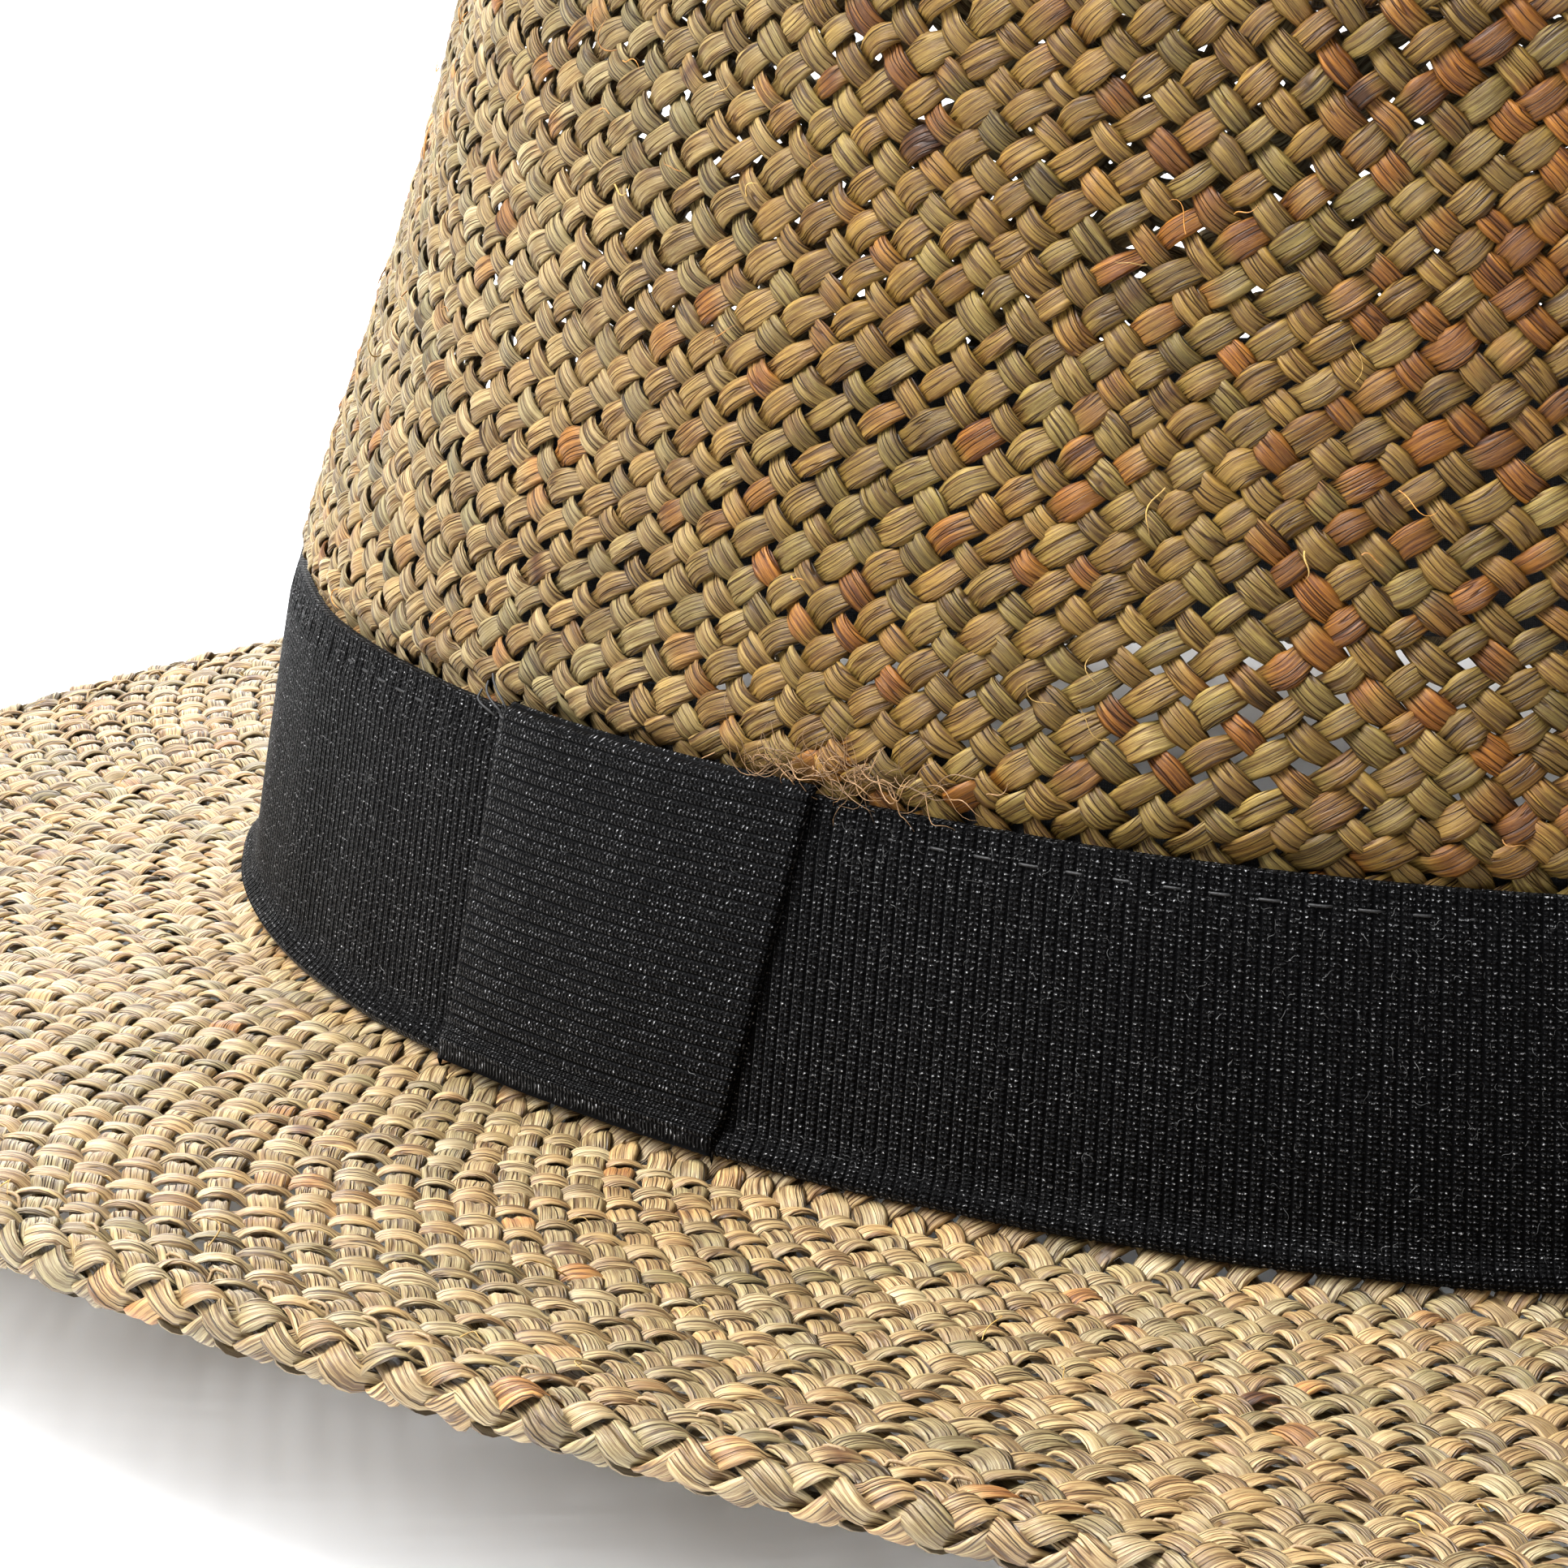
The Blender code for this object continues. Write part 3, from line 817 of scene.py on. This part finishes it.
def band_relief(rng, heights, length):
    """How far the band's face lies from the wall: slow waves, ribs and the gathered line."""
    wobble = np.stack([waves(rng, length, (0.08, 0.031, 0.017)) for _ in range(3)])
    turn = math.pi * heights / BAND_WIDTH
    mixer = np.stack([np.cos(turn), np.sin(turn), np.ones_like(heights)], axis=1)
    slow = mixer @ wobble * 0.00018
    drop = BAND_WIDTH - heights[:, None]
    swell = 0.6 + 0.4 * np.cos(TURN * length / GATHER_PITCH)
    pucker = 0.00030 * swell * np.exp(-(((drop - GATHER_DOWN) / 0.0013) ** 2))
    drawn_in = 0.00045 * np.exp(-((drop / 0.0016) ** 2))
    return BAND_FACE + slow - pucker + RIB_HEIGHT * rib(length / RIB_PITCH) - drawn_in


def make_band(material):
    """The grosgrain band, gathered along a thread near its top edge."""
    rng = np.random.default_rng(5)
    columns = int(round(BAND_LENGTH / RIB_PITCH)) * RIB_SAMPLES + 1
    share = np.linspace(*BAND_SHARES, columns)
    length = share * BAND_LENGTH
    heights = band_heights()
    h, a = np.meshgrid(heights, angle_of(share, oval_table(0.0)), indexing="ij")
    place, normal = with_normal(wall_point, a, h)
    outer = place + normal * band_relief(rng, heights, length)[..., None]
    rim_top = outer[-1:] - normal[-1:] * BAND_THICK + np.array([0, 0, 0.0001])
    rim_low = outer[:1] - normal[:1] * BAND_THICK
    points = np.concatenate([rim_low, outer, rim_top])
    v = np.concatenate([[heights[0] - BAND_THICK], heights, [heights[-1] + BAND_THICK]])
    uv = np.stack(np.broadcast_arrays(length[None, :], v[:, None]), axis=-1)
    band = mesh_piece("ribbon_band_cloth", points.reshape(-1, 3), grid_quads(len(points), columns),
                      material, uv.reshape(-1, 2), None, ("ribbon_band",))


def keeper_relief(rng, heights, across):
    """How far the keeper's face lies from the wall: bowed out, ribbed, tucked in above and below."""
    climb = np.clip(heights / BAND_WIDTH, 0, 1)
    bow = 0.00045 * np.sin(math.pi * across)[None, :] * (0.4 + 0.6 * np.sin(math.pi * climb))[:, None]
    sag = 0.0001 * waves(rng, across * KEEPER_LENGTH, (0.021, 0.013))[None, :]
    past = (np.abs(heights - BAND_WIDTH / 2) - BAND_WIDTH / 2) / 0.0010
    tuck = np.clip(past, 0, 1)[:, None]
    ribs = RIB_HEIGHT * rib(heights / RIB_PITCH)[:, None]
    return KEEPER_FACE + bow + sag + ribs - KEEPER_TUCK * tuck**2


def make_keeper(material):
    """The short ribbon loop over the band's join, with its ribs lying level."""
    rng = np.random.default_rng(8)
    heights = np.arange(-0.0011, BAND_WIDTH + 0.0010, RIB_PITCH / RIB_SAMPLES)
    across = np.linspace(0, 1, 61)
    climb = np.clip(heights / BAND_WIDTH, 0, 1)
    left = KEEPER_LEFT[0] + (KEEPER_LEFT[1] - KEEPER_LEFT[0]) * climb
    right = KEEPER_RIGHT[0] + (KEEPER_RIGHT[1] - KEEPER_RIGHT[0]) * climb
    a = left[:, None] + (right - left)[:, None] * across[None, :]
    place, normal = with_normal(wall_point, a, np.repeat(heights[:, None], len(across), axis=1))
    outer = place + normal * keeper_relief(rng, heights, across)[..., None]
    depth = (KEEPER_THICK + 0.0002) * normal
    outer_left = outer[:, :1] - depth[:, :1]
    outer_right = outer[:, -1:] - depth[:, -1:]
    points = np.concatenate([outer_left, outer, outer_right], axis=1)
    u = np.concatenate([[0], across * KEEPER_LENGTH, [KEEPER_LENGTH]])
    u[0] -= KEEPER_THICK
    u[-1] += KEEPER_THICK
    uv = np.stack(np.broadcast_arrays(u[None, :], heights[:, None]), axis=-1)
    keeper = mesh_piece("ribbon_keeper_cloth", points.reshape(-1, 3), grid_quads(*points.shape[:2]),
                        material, uv.reshape(-1, 2), None, ("ribbon_keeper",))


# ---------------------------------------------------------------- sweatband and its trimmings

SWEATBAND_LOW = 0.0010
SWEATBAND_HIGH = 0.0340
SWEATBAND_THICK = 0.0009
SWEATBAND_OUT = -(STRAW_THICK + GAP)
SWEATBAND_IN = SWEATBAND_OUT - SWEATBAND_THICK
TAPE_THICK = 0.0005
LABEL_THICK = 0.0004
SWEATBAND_STITCH_LEVEL = 0.0052
HEM_STITCH_INSET = 0.0062


def bare_point(a, h):
    return at(a, bare_outset(a, h), break_z(a) + h)


def closed_strip_quads(rows, columns):
    """Quads all round a strip with rows on its outer face and as many back along its inner one."""
    faces = grid_quads(2 * rows, columns)
    last = 2 * rows - 1
    lower_edge = grid_quads(2, columns) % columns + np.array([last, last, 0, 0]) * columns
    i = np.arange(rows - 1)
    end = np.stack([i, i + 1, last - i - 1, last - i], axis=1) * columns
    other_end = end[:, ::-1] + columns - 1
    return np.concatenate([faces, lower_edge, end, other_end])[:, ::-1]


def inner_patch(name, angles, heights, face, thick, material, node):
    """A closed strip of cloth on the inside of the wall; face is its outer side's offset."""
    rng = np.random.default_rng(len(name))
    height = float(heights[-1] - heights[0])
    length = (angles - angles[0]) * (HALF_WIDTH + HALF_LENGTH) / 2
    h, a = np.meshgrid(heights, angles, indexing="ij")
    place, normal = with_normal(bare_point, a, h)
    slow = 0.00010 * waves(rng, length, (0.06, 0.023))[None, :]
    outer = place + normal * face
    inner = place + normal * (face - thick + slow)[..., None]
    points = np.concatenate([outer, inner[::-1]])
    around = np.concatenate([heights, heights[::-1] + 0.001 + height])
    uv = np.stack(np.broadcast_arrays(length[None, :], around[:, None]), axis=-1)
    piece = mesh_piece(name, points.reshape(-1, 3), closed_strip_quads(len(heights), len(angles)),
                       material, uv.reshape(-1, 2), None, (node,))


STITCH_SECTIONS = 14  # in one stitch above the cloth and one below


def running_stitch(name, surface, a_range, level, top, under, stitch, radius, material, slot, node):
    """One thread sewn along a line, showing above the cloth and then below it."""
    rough = np.linspace(*a_range, 4000)
    line = surface(rough, np.full_like(rough, level))
    length = np.concatenate([[0], np.cumsum(np.linalg.norm(np.diff(line, axis=0), axis=1))])
    count = int(length[-1] / (2 * stitch)) * STITCH_SECTIONS
    run = np.linspace(0, length[-1], count)
    a = np.interp(run, length, rough)
    place, normal = with_normal(surface, a, np.full_like(a, level))
    beat = np.tanh(2.6 * np.cos(math.pi * run / stitch))
    path = place + normal * ((top + under) / 2 + (top - under) / 2 * beat)[:, None]
    parts = Parts()
    parts.add(*thread(path, radius))
    parts.piece(name, material, slot, (node,))


def make_sweatband():
    cloth = cloth_material("sweatband_cloth", (0.035, 0.035, 0.037, 1), (0.012, 0.012, 0.013, 1))
    inner_patch("sweatband_cloth", np.linspace(math.pi, 3 * math.pi, 361),
                np.linspace(SWEATBAND_LOW, SWEATBAND_HIGH, 14), SWEATBAND_OUT, SWEATBAND_THICK,
                cloth, "sweatband")


def make_seam_tape():
    """Tape over the sweatband's seam at the back."""
    tape = cloth_material("seam_tape_cloth", (0.30, 0.24, 0.15, 1), (0.18, 0.14, 0.08, 1), 900.0)
    inner_patch("seam_tape", np.linspace(math.radians(177), math.radians(183), 13),
                np.linspace(0.0078, 0.0330, 12), SWEATBAND_IN - GAP, TAPE_THICK, tape,
                "sweatband_seam_tape")


def make_size_label():
    """A blank label on the sweatband."""
    label = cloth_material("label_cloth", (0.62, 0.60, 0.55, 1), (0.42, 0.40, 0.36, 1), 2200.0, 0.6)
    inner_patch("size_label_blank", np.linspace(math.radians(196), math.radians(208), 25),
                np.linspace(0.0120, 0.0260, 10), SWEATBAND_IN - GAP, LABEL_THICK, label,
                "size_label")


def make_sweatband_stitches():
    """The thread that joins the sweatband to the straw."""
    black = thread_material("sweatband_thread_black", (0.05, 0.05, 0.052, 1),
                            (0.018, 0.018, 0.02, 1))
    running_stitch("sweatband_stitches", bare_point, (0, TURN), SWEATBAND_STITCH_LEVEL,
                   SWEATBAND_IN - 0.00030, -0.0007, 0.0026, 0.00024, black,
                   "sweatband_thread", "sweatband_thread")


def brim_top(a, inset):
    """The brim's top face at a distance in from its edge."""
    back, round_hem = brim_lengths(a)[:2]
    return brim_point(a, back + round_hem + inset - HEM_RADIUS)


def make_hem_stitches():
    """The thread that holds the turned edge of the brim down."""
    brown = thread_material("hem_thread_cotton", (0.36, 0.25, 0.13, 1), (0.24, 0.15, 0.07, 1))
    running_stitch("hem_stitches", brim_top, (0, TURN), HEM_STITCH_INSET, 0.00006, -0.0023,
                   0.0023, 0.00016, brown, "hem_thread", "brim_hem_thread")


def band_point(a, h):
    """The band's plain face, without its ribs."""
    place, normal = with_normal(wall_point, a, h)
    return place + normal * BAND_FACE


def make_gathering_stitches(material):
    running_stitch("gathering_stitches", band_point, (KEEPER_RIGHT[1], TURN + KEEPER_LEFT[0]),
                   BAND_WIDTH - GATHER_DOWN, -0.00010, -0.0007, 0.0019, 0.00013, material,
                   "ribbon_thread", "ribbon_gathering_thread")


def tack_stitch(number):
    """The path of one short stitch over the keeper's top left corner."""
    a = KEEPER_LEFT[1] + np.linspace(-0.010, 0.006, 9)
    h = BAND_WIDTH - 0.0004 - 0.0006 * number + np.linspace(0.0003, -0.0003, 9)
    place, normal = with_normal(wall_point, a, h)
    bow = np.sin(np.linspace(0, math.pi, 9)) * 0.0007 + KEEPER_FACE - 0.0007
    return place + normal * bow[:, None]


def loose_end(number, stand_off):
    """The path of one loose thread end, which wanders from the corner over the straw."""
    run = np.linspace(0, 1, 14)
    a = KEEPER_LEFT[1] - 0.012 * number - 0.020 * run**2 + 0.006 * np.sin(5 * run + number)
    h = BAND_WIDTH - 0.0006 + (0.0034 - 0.0008 * number) * run
    place, normal = with_normal(wall_point, a, h)
    out = KEEPER_FACE - 0.0006 + 0.0006 * np.sin(3 * run) + stand_off
    return place + normal * out[:, None]


def make_tack_thread(material):
    """Small stitches that hold the keeper's top corner, with loose ends standing up."""
    parts = Parts()
    rng = np.random.default_rng(31)
    for number in range(5):
        parts.add(*thread(tack_stitch(number), 0.00014))
    for number in range(3):
        parts.add(*thread(loose_end(number, 0.0002 * rng.uniform()), 0.00011))
    parts.piece("keeper_tack_stitches", material, "ribbon_thread", ("keeper_tack_thread",))


# ---------------------------------------------------------------- stray fibres and fuzz

HAIR_SECTIONS = 10
CROWN_HAIRS = 130
FRAYED_HAIRS = 110
BRIM_HAIRS = 120
RIBBON_HAIRS = 2600
FRAY_ANGLE = math.radians(102.5)
FRAY_SPREAD = 0.048
FRAY_LEVEL = 0.0312
FRAY_BROWN = np.array([0.26, 0.15, 0.07])


def hair(rng, parts, surface, a, level, heading, length, radius, off, curl, tint, arc=0.1):
    """One fine fibre that leaves a surface and curls back near it; arc is metres per radian."""
    run = np.linspace(0, 1, HAIR_SECTIONS)
    bend = curl * rng.uniform(-1, 1)
    way = heading + bend * run + 0.3 * curl * np.sin(5 * run + rng.uniform(0, 6))
    across = np.cumsum(np.cos(way)) * length / HAIR_SECTIONS
    up = np.cumsum(np.sin(way)) * length / HAIR_SECTIONS
    place, normal = with_normal(surface, a + across / arc, level + up)
    lift = off + 0.35 * length * rng.uniform(0.1, 1) * np.sin(math.pi * run * rng.uniform(0.6, 1))
    points, quads = thread(place + normal * lift[:, None], radius, 3, taper=True)
    parts.add(points, quads, tint=np.repeat(tint[None, :], len(points), axis=0))


def fibre_material(name, roughness):
    n = Nodes(name)
    tint = n.add("ShaderNodeAttribute", attribute_name="tint").outputs["Color"]
    place = n.add("ShaderNodeTexCoord").outputs["Object"]
    shade = n.noise(place, 2500.0, 2.0, 0.6)
    grey = n.fit(shade, 0.3, 0.7, 0.6, 1.2)
    shading = n.add("ShaderNodeCombineColor", {0: grey, 1: grey, 2: grey}).outputs[0]
    n.shade(Base_Color=n.mix(tint, shading, 1.0, "MULTIPLY"))
    n.shade(Roughness=n.fit(shade, 0.3, 0.7, roughness, roughness - 0.15))
    return n.material


def add_crown_hairs(rng, parts):
    for k in range(CROWN_HAIRS):
        tint = ORANGE * rng.uniform(0.5, 1.3) if k % 3 else TAN * rng.uniform(0.7, 1.3)
        a = rng.uniform(0, TURN)
        level = rng.uniform(0.031, 0.088)
        hair(rng, parts, straw_face, a, level, rng.uniform(0, TURN), rng.uniform(0.002, 0.005),
             rng.uniform(0.00004, 0.00009), 0.0002, 2.0, tint)


def add_frayed_spot(rng, parts):
    for _ in range(FRAYED_HAIRS):
        tint = FRAY_BROWN * rng.uniform(0.5, 1.5)
        a = FRAY_ANGLE + FRAY_SPREAD * rng.normal()
        level = FRAY_LEVEL + 0.0006 * abs(rng.normal())
        heading = rng.choice([0, math.pi]) + 0.35 * rng.normal()
        hair(rng, parts, straw_face, a, level, heading, rng.uniform(0.002, 0.006),
             rng.uniform(0.00003, 0.00006), 0.0003, 1.8, tint)


def add_brim_hairs(rng, parts):
    for _ in range(BRIM_HAIRS):
        tint = TAN * rng.uniform(0.7, 1.3)
        hair(rng, parts, brim_top, rng.uniform(0, TURN), rng.uniform(0.004, 0.050),
             rng.uniform(0, TURN), rng.uniform(0.002, 0.006), rng.uniform(0.00004, 0.00008),
             0.0002, 2.0, tint, arc=0.13)


def make_straw_fibres():
    """Torn and curled fibres on the crown and brim, thickest in a frayed spot above the band."""
    parts = Parts()
    rng = np.random.default_rng(77)
    add_crown_hairs(rng, parts)
    add_frayed_spot(rng, parts)
    add_brim_hairs(rng, parts)
    parts.piece("stray_straw_fibres", fibre_material("straw_fibre", 0.6), "straw", ("straw_body",))


def make_ribbon_fuzz():
    """Fine pale hairs that stand off the ribbon."""
    parts = Parts()
    rng = np.random.default_rng(78)
    for _ in range(RIBBON_HAIRS):
        tint = np.full(3, rng.uniform(0.03, 0.20))
        a = rng.uniform(0, TURN)
        on_keeper = KEEPER_LEFT[1] < a < KEEPER_RIGHT[0]
        face = KEEPER_FACE if on_keeper else BAND_FACE
        hair(rng, parts, wall_point, a, rng.uniform(0.0005, BAND_WIDTH - 0.001),
             rng.uniform(0, TURN), rng.uniform(0.0006, 0.0016), rng.uniform(0.00001, 0.00002),
             face + 0.0002, 2.2, tint)
    parts.piece("ribbon_fuzz", fibre_material("ribbon_fibre", 0.7), "ribbon",
                ("ribbon_band", "ribbon_keeper"))


# ---------------------------------------------------------------- stage, light and camera

FLOOR_SIZE = 8
FLOOR_DOWN = 0.0002
FLOOR_COLOUR = (0.89, 0.91, 0.94, 1)
WORLD_STRENGTH = 0.28
LIGHT_AIM = Vector((0.05, 0.03, 0.05))
VIEW_AZIMUTH = math.radians(134.5)
VIEW_ELEVATION = math.radians(16.8)
VIEW_DISTANCE = 0.412
VIEW_AIM = Vector((0.0875, 0.0214, 0.0480))
LENS = 123.2


def make_floor():
    bpy.ops.mesh.primitive_plane_add(size=FLOOR_SIZE, location=(0, 0, -FLOOR_DOWN))
    floor = bpy.context.object
    floor.name = "floor"
    n = Nodes("floor_white")
    n.shade(Base_Color=FLOOR_COLOUR, Roughness=0.8)
    n.shader.inputs["Specular IOR Level"].default_value = 0.1
    floor.data.materials.append(n.material)


def area_light(name, place, size, power):
    """A soft square light that faces the hat."""
    data = bpy.data.lights.new(name, "AREA")
    data.size = size
    data.energy = power
    light = bpy.data.objects.new(name, data)
    light.location = place
    light.rotation_euler = (LIGHT_AIM - Vector(place)).to_track_quat("-Z", "Y").to_euler()
    bpy.context.scene.collection.objects.link(light)


def make_light():
    world = bpy.data.worlds.new("studio")
    bpy.context.scene.world = world
    world.use_nodes = True
    background = world.node_tree.nodes["Background"]
    background.inputs["Color"].default_value = (1, 1, 1, 1)
    background.inputs["Strength"].default_value = WORLD_STRENGTH
    area_light("key", (0.494, -0.422, 1.409), 0.75, 48)
    area_light("front_fill", (1.043, -0.341, 1.111), 1.00, 36)
    area_light("back_glow", (-0.90, -0.90, 0.34), 1.30, 30)


def make_camera():
    level = math.cos(VIEW_ELEVATION)
    back = Vector((math.sin(VIEW_AZIMUTH) * level, -math.cos(VIEW_AZIMUTH) * level,
                   math.sin(VIEW_ELEVATION)))
    data = bpy.data.cameras.new("camera")
    data.lens = LENS
    data.sensor_width = 36
    data.clip_start = 0.01
    camera = bpy.data.objects.new("camera", data)
    camera.location = VIEW_AIM + back * VIEW_DISTANCE
    camera.rotation_euler = back.to_track_quat("Z", "Y").to_euler()
    bpy.context.scene.collection.objects.link(camera)
    bpy.context.scene.camera = camera


def dress_wire():
    """The steel wire stays as the CAD made it, with a metal finish."""
    wire = bpy.data.objects["brim_wire"]
    wire.material_slots[0].material = wire_material()


def main():
    bpy.context.scene.view_settings.view_transform = "Standard"
    weave_crown(straw_material("straw_crown", 0.30))
    weave_brim(straw_material("straw_brim", 0.65))
    make_band(ribbon_material("ribbon_band_black", False))
    make_keeper(ribbon_material("ribbon_keeper_black", True))
    make_sweatband()
    make_seam_tape()
    make_size_label()
    make_sweatband_stitches()
    make_hem_stitches()
    ribbon_black = thread_material("ribbon_thread_black", (0.008, 0.008, 0.009, 1),
                                   (0.003, 0.003, 0.0035, 1))
    make_gathering_stitches(ribbon_black)
    make_tack_thread(ribbon_black)
    make_straw_fibres()
    make_ribbon_fuzz()
    dress_wire()
    make_floor()
    make_light()
    make_camera()


main()
